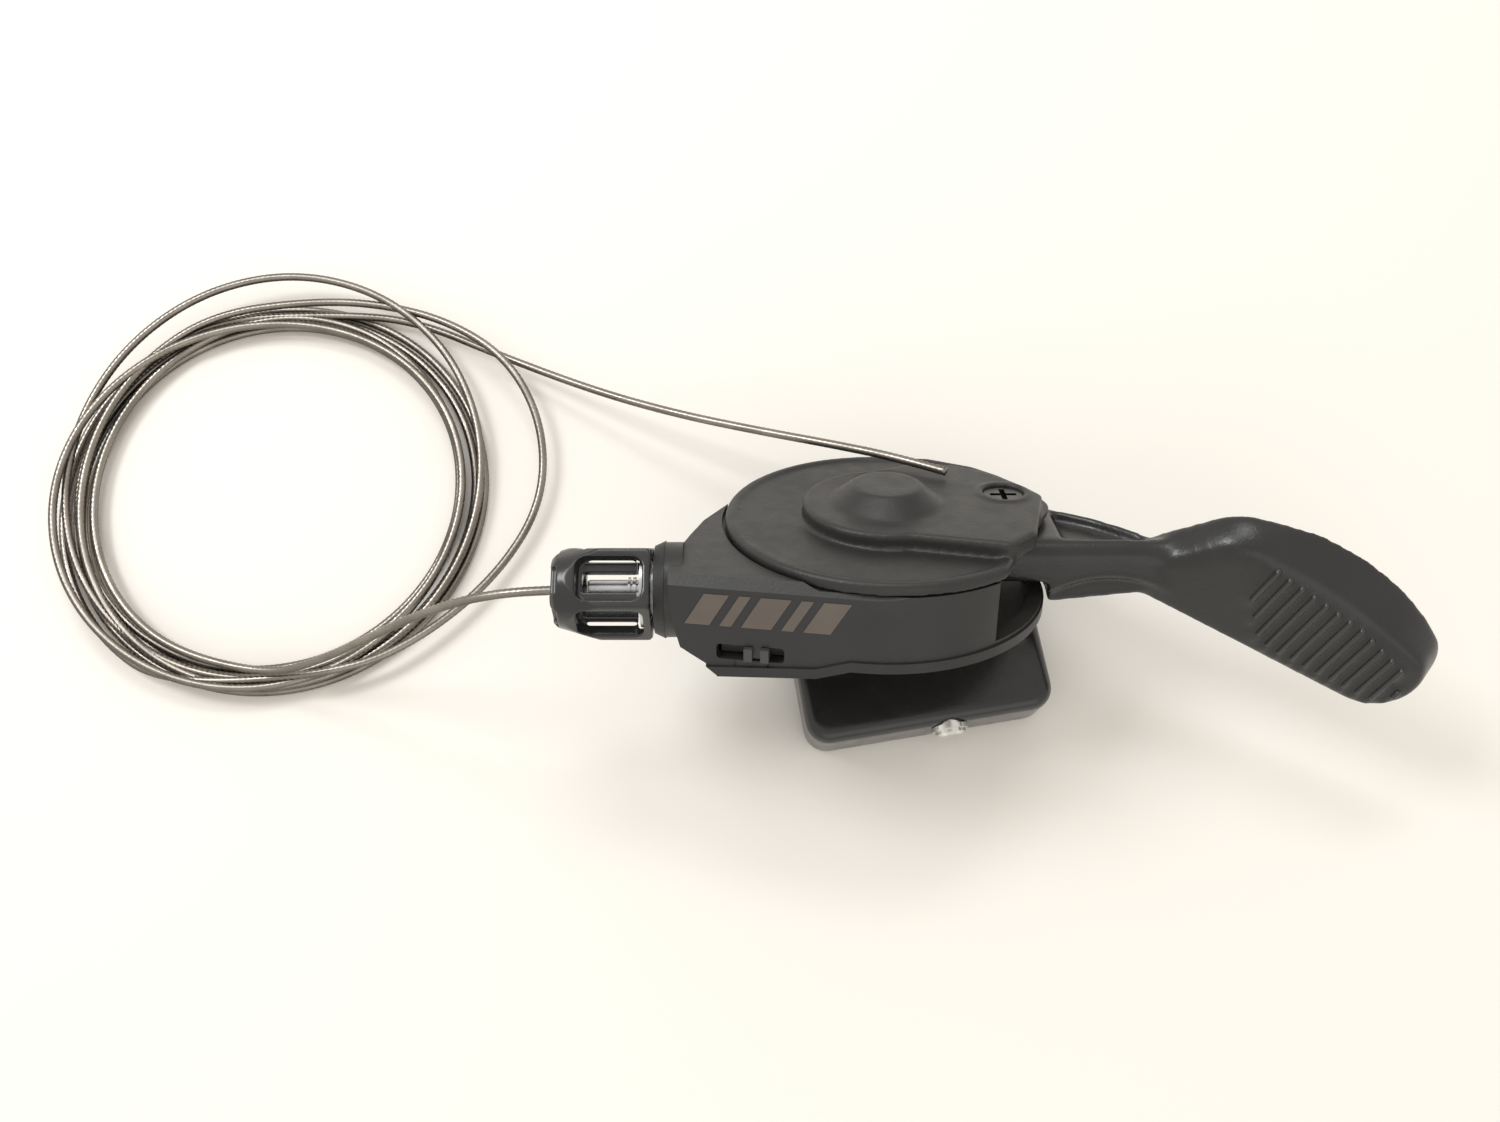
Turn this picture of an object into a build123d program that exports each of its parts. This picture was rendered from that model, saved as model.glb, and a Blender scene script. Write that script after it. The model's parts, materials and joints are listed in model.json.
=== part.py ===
from build123d import *
import os
from math import cos, pi, radians, sin, tan

# A single-lever thumb shifter for a bicycle, lying on its mounting bracket on a flat surface, with
# its bare inner cable coiled beside it. Millimetres, +Z up. The origin is under the middle of the
# shifter, on the surface that the bracket stands on.
#
# The shifter itself is modelled in its own axes and then tilted into place: x runs from the barrel
# adjuster to the thumb lever, z runs along the lever's axle out of the bottom cover, and z = 0 is
# the plane of the cover's rim.

# ---- where the shifter lies -------------------------------------------------------------------
AXLE = (-14.1, 6.5, 25.6)  # where the axle meets the rim plane, above the surface
AXLE_LIFT = 42.7  # degrees that the axle points above the horizontal

# ---- round body -------------------------------------------------------------------------------
BODY_R = 20.5  # side wall, and the rim of the bottom cover
WALL = 1.8
NEAR_TURN = 9.5  # degrees that the flat side wall is turned against the shifter's x axis
NECK_END_X = -27.0  # face that the barrel adjuster's collar sits on
NECK_NEAR_Y = -16.2
NECK_FAR = [(-27.0, -14.6), (-26.1, -9.0), (-24.8, -4.6), (-23.2, 0.0)]
NECK_FAR_ANGLE = 160  # where the neck's far side leaves the round body
NECK_RING_END_X = -25.4
NECK_BLOCK_X = -22.5  # the neck is solid outside this, hollow inside
SHOULDER_Z = -1.0  # top of the neck, beside the cover
RIM_SEAT_Z = -1.7  # top of the side wall, under the cover
ROOF_Z = -3.0  # underside of the neck's roof
COVER_GAP = 0.4
NEAR_CHAMFER = 1.2

PLATE_T = 1.3
PLATE_LIP = 0.3  # how far the base plate stands out past the side wall
PLATE_END_X = -22.8
PLATE_CORNER = [(-24.1, -11.4), (-21.3, -13.7), (-21.3, -17), (-30, -17), (-30, -11.4)]
PLATE_BACK = [(-40, -15.15), (-9.5, -13.0), (-5.5, -11.7), (40, -10.8)]  # its underside, in x and z
DEEP_Z = -16.0  # below every part of the base plate

LEVER_GATE_FROM = -54  # degrees round the axle where the side wall stops and starts again
LEVER_GATE_TO = 78
LEVER_GATE_Z = -9.5  # below this the side wall goes all the way round

NECK_BEVEL = [(-27.5, -3.0), (-26.3, -8.1), (-25.7, -10.35), (-24.4, -11.2), (-22.3, -12.5)]
NECK_BEVEL += [(-20.5, -12.9), (-20.5, -17), (-33, -17), (-33, -3.0)]

BRACKET_SCREWS = [(-6.0, 3.5), (-6.0, 15.0)]
SCREW_SEAT_Z = -11.2
SCREW_END_Z = -18.0
SCREW_BOSS_R = 2.8
HOLD_PIN = (-12.5, 6.0)
HOLD_PIN_R = 1.0

# ---- mode window and its slider ----------------------------------------------------------------
WINDOW_X, WINDOW_Z = -14.1, -10.45
WINDOW_LENGTH, WINDOW_HEIGHT = 8.2, 2.0
TICKS_X = (-15.9, -11.9)
SLIDER_X = -13.8
SLIDER_LENGTH = 8.2
SLIDER_TRAVEL = 2.6
TAB_X = -13.3

# ---- axle stack -------------------------------------------------------------------------------
AXLE_R = 2.5
RUNNING = 0.05  # radial clearance of what turns on the axle
AXLE_FOOT_Z = -11.5
AXLE_TOP_Z = 2.3
BOSS_R = 4.6
BOSS_TOP_Z = -9.8

# ---- bottom cover -----------------------------------------------------------------------------
COVER_T = 1.6
PLATEAU_Z = 1.75
PLATEAU_R = 10.6
HUB_Z = 4.05
HUB_BASE_R = 7.3
HUB_TOP_R = 4.3
SCREW_X, SCREW_Y = 15.4, 2.6
SCREW_HEAD_R = 2.6
SCREW_FLOOR_Z, SCREW_TOP_Z = 0.5, 1.5

# ---- cable spool and pawls --------------------------------------------------------------------
WIRE_Y = -10.0  # the inner cable's straight line through the adjuster
WIRE_Z = -5.9
WIRE_R = 0.6
DRUM_R = -WIRE_Y - WIRE_R - 0.1
FLANGE_R = 12.6
RATCHET_TIP_R = 9.6
RATCHET_ROOT_R = 8.5
RATCHET_TEETH = 18
NIPPLE_R = 1.9
NIPPLE_LENGTH = 4.4
STUB_END_X = -8.0

# ---- barrel adjuster --------------------------------------------------------------------------
CAGE_R = 6.25
CAGE_END_X = -41.4
CAGE_START_X = -29.2
CAGE_BORE_R = 4.8
CAGE_SEAT_R = 2.6
CAGE_WINDOWS = 5
CAGE_TAPER_X = -35.6
CAGE_NOSE_R = 4.7
CAGE_FLAT = 5.1
CAGE_THREAD_R = 1.8
CAGE_POCKET_FLOOR = 3.3
CAGE_SLOT_WIDTH = 2.5
SEAT_END_X = -38.9
FLANGE_POCKET_X = -31.0
WINDOW_FROM_X, WINDOW_TO_X = -38.4, -30.1
WINDOW_WIDTH = 5.0
FIRST_WINDOW_ANGLE = 47
BOLT_R = 1.2
BOLT_THREAD_R = 1.5
BOLT_BORE_R = 0.8
BOLT_TIP_X, BOLT_TAIL_X = -37.2, -21.5
THREAD_PITCH = 0.7

# ---- thumb lever ------------------------------------------------------------------------------
LEVER_TOP_Z = -2.1
LEVER_BOTTOM_Z = -11.0
LEVER_INNER_BOTTOM_Z = -7.5
LEVER_INNER_R = 21.1  # outside this the lever is at its full height
LEVER_NEAR_Y = -5.1
LEVER_TOP_FILLET = 2.0
ARM_OUTLINE = [(11, -5.1), (36, -5.1), (37.5, -3.6), (34.6, -2.8), (31.5, 0.4), (28.2, 3.6)]
ARM_OUTLINE += [(22.5, 7.0), (11, 7.0)]
PAD_ORIGIN = (33.0, -3.4, -10.0)
PAD_YAW = 20
PAD_DIP = 15
PAD_ROLL = -25
PAD_T = 5.0
PAD_FRONT = [(34.4, 3.4), (32.6, 10.4), (20.6, 13.0), (7.8, 14.4), (5.4, 13.4), (3.4, 11.4), (0.3, 7.0)]
PAD_REAR = [(36.2, 4.4), (34.4, 11.8), (22.6, 17.0), (8.2, 16.6), (4.6, 15.4), (1.8, 12.8), (-1.4, 7.8)]
RIB_COUNT = 13
RIB_PITCH = 1.85
RIB_WIDTH = 1.0
RIB_HEIGHT = 0.55

# ---- mounting bracket -------------------------------------------------------------------------
BLOCK_TURN = 9.5  # degrees round the vertical
BLOCK_LENGTH, BLOCK_DEPTH, BLOCK_HEIGHT = 34.2, 27.5, 9.0
BLOCK_FRONT = (7.6, -24.4)  # middle of the front edge, from under the axle point
NUT_SIDE = 8.0
NUT_T = 4.0
NUT_X, NUT_Y, NUT_Z = -7.0, 11.0, 2.2
M5_MINOR_R = 2.1
PIN_R = 2.1
PIN_X, PIN_Z = 2.4, 6.0
PIN_STICKS_OUT = 2.1

# ---- inner cable's free part ------------------------------------------------------------------
COIL_CENTRE = (-102.0, 18.5)
COIL_MID_R = 29.8
COIL_WIDTH, COIL_HEIGHT = 9.6, 5.0
LEAD_POINTS = [
    (-47.8, -4.62, 28.95),
    (-57.3, -4.62, 28.95),
    (-66.0, -5.0, 26.8),
    (-74.3, -6.0, 21.6),
    (-82.3, -7.3, 14.6),
    (-90.5, -8.8, 8.0),
    (-98.7, -10.0, 3.9),
]
LOOP_POINTS = [
    (-99.4, 48.7, 3.2),
    (-88.6, 48.3, 3.3),
    (-77.5, 45.2, 3.6),
    (-67.8, 38.4, 4.6),
    (-62.3, 28.3, 3.4),
    (-61.9, 16.5, 2.2),
    (-67.5, 5.7, 2.2),
    (-76.9, -3.7, 3.0),
    (-88.1, -9.8, 4.0),
]
TAIL_POINTS = [
    (-93.6, 47.1, 1.9),
    (-82.5, 45.9, 1.9),
    (-68.9, 39.6, 2.5),
    (-53.9, 32.4, 5.6),
    (-41.5, 27.3, 9.0),
    (-30.1, 23.4, 12.3),
    (-20.3, 20.0, 15.8),
    (-11.7, 16.6, 19.4),
    (-5.5, 13.5, 22.1),
]
TIP_LENGTH = 3.0

SHIFTER = Plane(origin=AXLE, x_dir=(1, 0, 0), z_dir=(0, cos(radians(AXLE_LIFT)), sin(radians(AXLE_LIFT))))
BRACKET = Location((AXLE[0] + BLOCK_FRONT[0], AXLE[1] + BLOCK_FRONT[1], 0), (0, 0, BLOCK_TURN))


# ---- helpers ----------------------------------------------------------------------------------
def disc(radius, z_from, z_to, x=0.0, y=0.0):
    """A round bar along z."""
    return Pos(x, y, (z_from + z_to) / 2) * Cylinder(radius, z_to - z_from)


def ring(outer, inner, z_from, z_to, x=0.0, y=0.0):
    return disc(outer, z_from, z_to, x, y) - disc(inner, z_from - 1, z_to + 1, x, y)


def bar_x(radius, x_from, x_to, y=WIRE_Y, z=WIRE_Z):
    """A round bar along x, by default on the inner cable's line."""
    return Pos((x_from + x_to) / 2, y, z) * Rot(0, 90, 0) * Cylinder(radius, x_to - x_from)


def tube_x(outer, inner, x_from, x_to):
    return bar_x(outer, x_from, x_to) - bar_x(inner, x_from - 1, x_to + 1)


def prism(sketch, z_from, z_to):
    return extrude(Plane.XY.offset(z_from) * sketch, z_to - z_from)


def polygon(points):
    return make_face(Polyline(*points, close=True))


def side_prism(points):
    """A solid as wide as the whole shifter, from an outline in the shifter's x and z."""
    return extrude(Plane.XZ * polygon(points), 40, both=True)


def polar(radius, angle):
    return (radius * cos(radians(angle)), radius * sin(radians(angle)))


def sector(from_angle, to_angle, reach=60):
    """A wedge-shaped sketch round the axle, of less than half a turn."""
    middle = (from_angle + to_angle) / 2
    return polygon([(0, 0), polar(reach, from_angle), polar(reach * 1.5, middle), polar(reach, to_angle)])


def hexagon(across_flats, z_from, z_to):
    return prism(RegularPolygon(across_flats / 2, 6, major_radius=False), z_from, z_to)


def cross_recess(radius, depth, z_top):
    arms = Rectangle(2 * radius, radius * 0.42) + Rectangle(radius * 0.42, 2 * radius)
    return prism(arms, z_top - depth, z_top + 0.1)


# ---- housing ----------------------------------------------------------------------------------
def body_outline():
    near_tangent = polar(BODY_R, -90 - NEAR_TURN)
    neck = [
        near_tangent,
        (NECK_END_X, NECK_NEAR_Y),
        *NECK_FAR,
        polar(BODY_R, NECK_FAR_ANGLE),
        (0, 0),
    ]
    return Circle(BODY_R) + polygon(neck)


def plate_line(height):
    """The line this far above the base plate's underside."""
    return [(x, z + height) for x, z in PLATE_BACK]


def below_plate(height):
    return side_prism(plate_line(height) + [(40, -50), (-40, -50)])


def above_plate(height):
    return side_prism(plate_line(height) + [(40, 50), (-40, 50)])


def side_wall_frame():
    """The flat side wall's own axes: x along the wall, y up the shifter's axle, z out of the wall."""
    turn = radians(NEAR_TURN)
    return Plane(origin=(0, 0, 0), x_dir=(cos(turn), -sin(turn), 0), z_dir=(-sin(turn), -cos(turn), 0))


def near_bevel():
    """What is planed off the upper edge of the flat side wall."""
    wall = side_wall_frame()
    across = Plane(origin=(0, 0, 0), x_dir=wall.z_dir, z_dir=-wall.x_dir)
    corner = polygon(
        [
            (BODY_R - NEAR_CHAMFER, SHOULDER_Z),
            (BODY_R, SHOULDER_Z - NEAR_CHAMFER),
            (BODY_R + 2, SHOULDER_Z - NEAR_CHAMFER),
            (BODY_R + 2, SHOULDER_Z + 1),
            (BODY_R - NEAR_CHAMFER, SHOULDER_Z + 1),
        ]
    )
    return extrude(across * corner, 40, both=True)


def housing_case():
    outer = prism(body_outline(), DEEP_Z, SHOULDER_Z) - near_bevel()
    cavity = offset(body_outline(), -WALL) & Pos(NECK_BLOCK_X + 50, 0) * Rectangle(100, 100)
    case = outer - prism(cavity, DEEP_Z - 1, ROOF_Z)
    case -= disc(BODY_R - WALL - 0.3, ROOF_Z - 0.5, 1)
    case -= disc(BODY_R + COVER_GAP, RIM_SEAT_Z, 1)
    case -= below_plate(PLATE_T)
    case -= side_prism(NECK_BEVEL)
    case -= prism(sector(LEVER_GATE_FROM, LEVER_GATE_TO), LEVER_GATE_Z, 1)
    case += bar_x(CAGE_R - 0.4, NECK_END_X - 0.6, NECK_RING_END_X)
    case -= bar_x(3.4, NECK_END_X - 2, NECK_BLOCK_X + 3)
    wall = side_wall_frame()
    window = RectangleRounded(WINDOW_LENGTH, WINDOW_HEIGHT, 0.5)
    case -= extrude(wall.offset(BODY_R + 1) * Pos(WINDOW_X, WINDOW_Z) * window, -6)
    pocket = Pos(SLIDER_X - SLIDER_TRAVEL, WINDOW_Z) * Rectangle(SLIDER_LENGTH + 0.4, WINDOW_HEIGHT + 0.2)
    case -= extrude(wall.offset(BODY_R - WALL) * pocket, -1.5)
    for tick_x in TICKS_X:
        tick = Pos(tick_x, WINDOW_Z - 1.5) * Rectangle(0.35, 0.7)
        case -= extrude(wall.offset(BODY_R - 0.15) * tick, 1)
    far_lug = polygon([(-1.5, 19.5), (2.5, 19.5), (2.5, 21.6), (-1.5, 21.6)])
    return case + prism(far_lug, -4.0, -2.0)


def base_plate():
    outline = offset(body_outline(), PLATE_LIP) & Pos(PLATE_END_X + 50, 0) * Rectangle(100, 100)
    plate = prism(outline, DEEP_Z, 0) - below_plate(0) - above_plate(PLATE_T)
    plate -= side_prism(PLATE_CORNER)
    plate += disc(BOSS_R, AXLE_FOOT_Z, BOSS_TOP_Z)
    for x, y in BRACKET_SCREWS:
        plate += disc(SCREW_BOSS_R, SCREW_SEAT_Z - 0.4, SCREW_SEAT_Z, x, y)
        plate -= disc(2.4, SCREW_SEAT_Z, 0, x, y)
        plate -= disc(1.5, DEEP_Z, 0, x, y)
    plate -= disc(AXLE_R, DEEP_Z, 0)
    return plate - disc(HOLD_PIN_R, DEEP_Z, 0, *HOLD_PIN)


def cover_blank():
    right_side = polygon([(12.6, -16.6), (22.4, 4.6), (30, 4.6), (30, -30), (12.6, -30)])
    shoulder = [(10, -6), (17.4, -9.0), (21.7, 3.4), (20.9, 6.2), (19.4, 9.6), (17.0, 13.1)]
    shoulder += [(13.8, 16.5), (8, 19.6), (2, 20.4)]
    outline = Circle(BODY_R) + polygon(shoulder)
    return outline - right_side


def plateau_outline():
    ear = [(2, -10.4), (13.8, -13.2), (17.4, -9.6), (20.4, 2.2), (17.6, 6.6), (14.4, 10.2)]
    ear += [(10.6, 12.6), (6, 13.6), (-1, 10.5)]
    return Circle(PLATEAU_R) + polygon(ear)


def bottom_cover():
    cover = prism(cover_blank(), -COVER_T, 0)
    cover = fillet(cover.faces().sort_by(Axis.Z)[-1].edges(), 0.6)
    field = offset(cover_blank(), -1.3)
    cover -= prism(field, -0.35, 0.5)
    plateau = prism(plateau_outline(), -0.6, PLATEAU_Z)
    plateau = fillet(plateau.faces().sort_by(Axis.Z)[-1].edges(), 0.5)
    cover += plateau
    cover += Pos(0, 0, (PLATEAU_Z + HUB_Z) / 2 - 0.1) * Cone(HUB_BASE_R, HUB_TOP_R, HUB_Z - PLATEAU_Z + 0.2)
    cover += ring(SCREW_HEAD_R + 0.8, SCREW_HEAD_R, 0.2, PLATEAU_Z + 0.25, SCREW_X, SCREW_Y)
    cover -= disc(SCREW_HEAD_R, SCREW_FLOOR_Z, 3, SCREW_X, SCREW_Y)
    cover -= disc(1.5, -2, 3, SCREW_X, SCREW_Y)
    cover -= disc(8.9, -2, 0.45)
    cover -= disc(4.4, -2, 2.6)
    return cover


def cover_screw():
    head = disc(SCREW_HEAD_R - 0.1, SCREW_FLOOR_Z, SCREW_TOP_Z, SCREW_X, SCREW_Y)
    head -= Pos(SCREW_X, SCREW_Y, 0) * cross_recess(1.7, 0.8, SCREW_TOP_Z)
    return head + disc(1.4, -1.6, SCREW_FLOOR_Z, SCREW_X, SCREW_Y)


def axle():
    return disc(AXLE_R, AXLE_FOOT_Z, AXLE_TOP_Z)


def axle_nut():
    return hexagon(7.2, -1.2, 1.6) - disc(AXLE_R, -2, 2)


# ---- lever ------------------------------------------------------------------------------------
def pad_plane():
    yaw, dip, roll = radians(PAD_YAW), radians(PAD_DIP), radians(PAD_ROLL)
    normal = Vector(-sin(yaw) * cos(dip), -cos(yaw) * cos(dip), -sin(dip))
    level = Vector(cos(yaw), -sin(yaw), 0)
    upright = normal.cross(level)
    return Plane(origin=PAD_ORIGIN, x_dir=level * cos(roll) + upright * sin(roll), z_dir=normal)


def pad_face(height, edge):
    """The pad's outline at one height: its foot, then the arcs round its tip, top and heel."""
    tip, tip_end, top, top_end, heel, heel_end, neck = edge
    foot = Polyline((-4.5, 1.8), (-3.0, 0.6), (0, 0), (29.0, 0))
    outline = foot + ThreePointArc((29.0, 0), tip, tip_end) + ThreePointArc(tip_end, top, top_end)
    outline += ThreePointArc(top_end, heel, heel_end) + Polyline(heel_end, neck, (-4.5, 1.8))
    return Pos(0, 0, height) * make_face(outline)


def pad():
    """The thumb pad, in its own plane: x out along the pad, y across it, z out of its face."""
    blank = loft([pad_face(0, PAD_FRONT), pad_face(-PAD_T, PAD_REAR)], ruled=True)
    field_edge = [(10.2, 8.0), (15.2, 1.5), (17.5, 0.7), (31.0, 0.6), (33.2, 2.2), (33.6, 4.6)]
    field = polygon(field_edge + [(31.4, 8.6), (24, 11.2), (10.2, 13.4)])
    bars = Sketch() + [Pos(11.1 + i * RIB_PITCH, 7) * Rectangle(RIB_WIDTH, 20) for i in range(RIB_COUNT)]
    ribs = extrude(bars & field, RIB_HEIGHT)
    return pad_plane() * (blank + ribs)




def lever():
    arm = prism(polygon(ARM_OUTLINE), LEVER_BOTTOM_Z, LEVER_TOP_Z)
    top_edge = arm.edges().sort_by_distance((23, LEVER_NEAR_Y, LEVER_TOP_Z))[0]
    arm = fillet(top_edge, LEVER_TOP_FILLET)
    arm -= disc(LEVER_INNER_R, LEVER_BOTTOM_Z - 1, LEVER_INNER_BOTTOM_Z)
    arm -= disc(FLANGE_R + 0.7, LEVER_BOTTOM_Z - 1, -3.9)
    arm -= side_prism([(20, -11.0), (35, -9.3), (45, -9.3), (45, -15), (20, -15)])
    pocket = polygon([(22.6, -2.9), (33.4, -2.9), (31.0, -0.5), (27.7, 2.7), (22.6, 5.9)])
    arm -= prism(pocket, LEVER_TOP_Z - 1.6, 0)
    scoop = Pos(28.5, LEVER_NEAR_Y, -21.5) * Rot(90, 0, 0) * Cylinder(14.5, 2.0)
    arm -= scoop
    hub = ring(12.0, 6.2, -3.85, LEVER_TOP_Z)
    hub += prism(sector(-24, 32, 14) & Circle(14), -3.85, LEVER_TOP_Z) - disc(6.2, -10, 0)
    return hub + arm + pad()


def lever_hub():
    """Steel bush that the lever is moulded round, with the ear that carries the winding pawl."""
    hub = disc(6.2, -3.85, LEVER_TOP_Z)
    hub -= disc(AXLE_R + RUNNING, -10, 0)
    return hub


WIND_PIVOT = polar(14.6, 128)
WIND_PIVOT_R = 0.9


def pawl_arm():
    """Steel arm on the lever's hub that carries the winding pawl's pin."""
    across = Pos(*polar(13.2, 128)) * Rot(0, 0, 128) * Rectangle(5.4, 4.2)
    arm = prism(across + Pos(*WIND_PIVOT) * Circle(2.4), -3.85, -2.6)
    arm -= disc(12.0, -10, 0)
    return arm - disc(WIND_PIVOT_R, -10, 0, *WIND_PIVOT)


def wind_pawl_pin():
    return disc(WIND_PIVOT_R, -5.6, -2.4, *WIND_PIVOT)


def wind_pawl():
    body = Pos(*WIND_PIVOT) * Circle(1.8)
    tail = polygon([polar(16.2, 126), polar(12.95, 110), polar(13.6, 107), polar(16.4, 124)])
    pawl = prism(body + tail, -5.3, -4.1)
    return pawl - disc(WIND_PIVOT_R + RUNNING, -10, 0, *WIND_PIVOT)


# ---- spool ------------------------------------------------------------------------------------
def saw_teeth(root, tip, count):
    step = 360 / count
    points = []
    for i in range(count):
        points.append(polar(tip, i * step))
        points.append(polar(root, i * step + step * 0.12))
    return polygon(points)


def spool():
    body = disc(DRUM_R, -7.4, -4.5)
    body += disc(FLANGE_R, -7.7, -7.1)
    body += prism(saw_teeth(FLANGE_R - 1.0, FLANGE_R, 24), -4.7, -4.1)
    body += prism(saw_teeth(RATCHET_ROOT_R, RATCHET_TIP_R, RATCHET_TEETH), -9.2, -7.6)
    body -= disc(7.2, -10, -7.6)
    body += disc(4.0, -9.4, -7.0)
    body -= disc(AXLE_R + RUNNING, -12, 0)
    nest = Pos(0.2, WIRE_Y, WIRE_Z) * Box(NIPPLE_LENGTH + 0.6, 4.4, 2.8)
    return body - nest - bar_x(2.1, -2.5, 2.9)


def cable_nipple():
    return bar_x(NIPPLE_R, -NIPPLE_LENGTH / 2, NIPPLE_LENGTH / 2)


def cable_stub():
    return bar_x(WIRE_R, STUB_END_X, -NIPPLE_LENGTH / 2)


def hold_pawl_pin():
    return disc(HOLD_PIN_R, -12.4, -7.4, *HOLD_PIN)


def hold_pawl():
    body = Pos(*HOLD_PIN) * Circle(2.0)
    beak = polygon([polar(15.6, 152), polar(12.0, 140), polar(9.95, 122), polar(10.9, 119), polar(14.2, 140)])
    pawl = prism(body + beak, -9.1, -7.9)
    return pawl - disc(HOLD_PIN_R + RUNNING, -12, 0, *HOLD_PIN)


def coil_spring(radius, wire, z_from, turns, pitch):
    path = Pos(0, 0, z_from) * Helix(pitch, pitch * turns, radius)
    section = Plane(origin=path @ 0, z_dir=path % 0) * Circle(wire / 2)
    return sweep(section, path=path)


def lever_spring():
    return coil_spring(7.4, 0.8, -1.3, 1.3, 0.95)


def spool_spring():
    return coil_spring(5.6, 0.7, -8.9, 1.1, 0.8)


# ---- mode slider ------------------------------------------------------------------------------
def mode_slider():
    """Slides along the inside of the flat wall; its thumb tab stands out through the window."""
    wall = side_wall_frame()
    inside = BODY_R - WALL - 0.1
    shoe = Pos(SLIDER_X, WINDOW_Z) * Rectangle(SLIDER_LENGTH, WINDOW_HEIGHT - 0.1)
    slider = extrude(wall.offset(inside) * shoe, -1.2)
    tab = Pos(TAB_X, WINDOW_Z) * Rectangle(3.0, WINDOW_HEIGHT - 0.3)
    slider += extrude(wall.offset(inside) * tab, 1.5)
    for side in (-1, 1):
        grip = Pos(TAB_X + side, WINDOW_Z) * Rectangle(1.0, WINDOW_HEIGHT - 0.3)
        slider += extrude(wall.offset(inside) * grip, 2.5)
    return slider


# ---- barrel adjuster --------------------------------------------------------------------------
def adjuster_collar():
    collar = Pos((NECK_END_X - 0.6 + CAGE_START_X + 0.3) / 2, WIRE_Y, WIRE_Z) * Rot(0, -90, 0) * Cone(
        6.0, 5.4, (NECK_END_X - 0.6) - (CAGE_START_X + 0.3)
    )
    return collar - bar_x(3.4, CAGE_START_X - 2, NECK_END_X + 2)


def adjuster_insert():
    """Threaded metal sleeve in the neck, with the flange that closes the cage's end."""
    sleeve = bar_x(3.4, CAGE_START_X - 0.6, NECK_BLOCK_X + 1.5)
    flange = bar_x(CAGE_BORE_R - 0.15, CAGE_START_X - 1.4, CAGE_START_X - 0.4)
    return sleeve + flange - bar_x(BOLT_THREAD_R + RUNNING, CAGE_START_X - 3, NECK_BLOCK_X + 3)


def adjuster_cage():
    """Five-sided thumb barrel; each side has a pocket with a slot in its floor, over the bolt."""
    outline = Polyline(
        (CAGE_START_X, CAGE_BORE_R),
        (CAGE_START_X, CAGE_R - 0.4),
        (CAGE_START_X - 0.4, CAGE_R),
        (CAGE_TAPER_X, CAGE_R),
        (CAGE_END_X + 0.6, CAGE_NOSE_R),
        (CAGE_END_X, CAGE_NOSE_R - 0.6),
        (CAGE_END_X, CAGE_SEAT_R),
        (SEAT_END_X, CAGE_SEAT_R),
        (SEAT_END_X, CAGE_THREAD_R),
        (FLANGE_POCKET_X, CAGE_THREAD_R),
        (FLANGE_POCKET_X, CAGE_BORE_R),
        (CAGE_START_X, CAGE_BORE_R),
    )
    cage = Pos(0, WIRE_Y, WIRE_Z) * revolve(make_face(outline), Axis.X)
    length = WINDOW_TO_X - WINDOW_FROM_X
    middle = (WINDOW_TO_X + WINDOW_FROM_X) / 2
    pocket = extrude(RectangleRounded(length - 0.7, WINDOW_WIDTH, 1.1), 3, taper=-8)
    slot = extrude(Rectangle(length - 1.6, CAGE_SLOT_WIDTH), CAGE_R)
    for i in range(CAGE_WINDOWS):
        angle = FIRST_WINDOW_ANGLE + i * 360 / CAGE_WINDOWS
        side = Pos(0, WIRE_Y, WIRE_Z) * Rot(angle, 0, 0)
        cage -= side * Pos(middle, 0, CAGE_FLAT + 2) * Box(40, 14, 4)
        cage -= side * Pos(middle, 0, CAGE_POCKET_FLOOR) * pocket
        cage -= side * Pos(middle, 0, 0) * slot
        cage -= side * Pos(CAGE_END_X, 0, CAGE_NOSE_R) * Box(1.6, 3.4, 2.6)
    return cage


def adjuster_bolt():
    bolt = bar_x(BOLT_R, BOLT_TIP_X, BOLT_TAIL_X)
    bolt = fillet(bolt.edges().sort_by(Axis.X)[0], 0.3)
    start = CAGE_START_X - 3.0
    bolt += bar_x(BOLT_THREAD_R, start, BOLT_TAIL_X)
    for i in range(int((BOLT_TAIL_X - start) / THREAD_PITCH)):
        x = start + (i + 0.6) * THREAD_PITCH
        bolt -= tube_x(BOLT_THREAD_R + 1, BOLT_R - 0.05, x - 0.15, x + 0.15)
    return bolt - bar_x(BOLT_BORE_R, BOLT_TIP_X - 1, BOLT_TAIL_X + 1)


def inner_wire():
    """The straight stretch of the cable between the spool and the adjuster's bolt."""
    return bar_x(WIRE_R, -33.7, STUB_END_X - 0.3)


# ---- bracket ----------------------------------------------------------------------------------
def bracket_blank():
    block = Pos(0, BLOCK_DEPTH / 2, BLOCK_HEIGHT / 2) * Box(BLOCK_LENGTH, BLOCK_DEPTH, BLOCK_HEIGHT)
    block = fillet(block.edges().filter_by(Axis.Z), 3.2)
    block = fillet(block.faces().sort_by(Axis.Z)[-1].edges(), 1.6)
    return fillet(block.faces().sort_by(Axis.Z)[0].edges(), 0.6)


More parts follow.
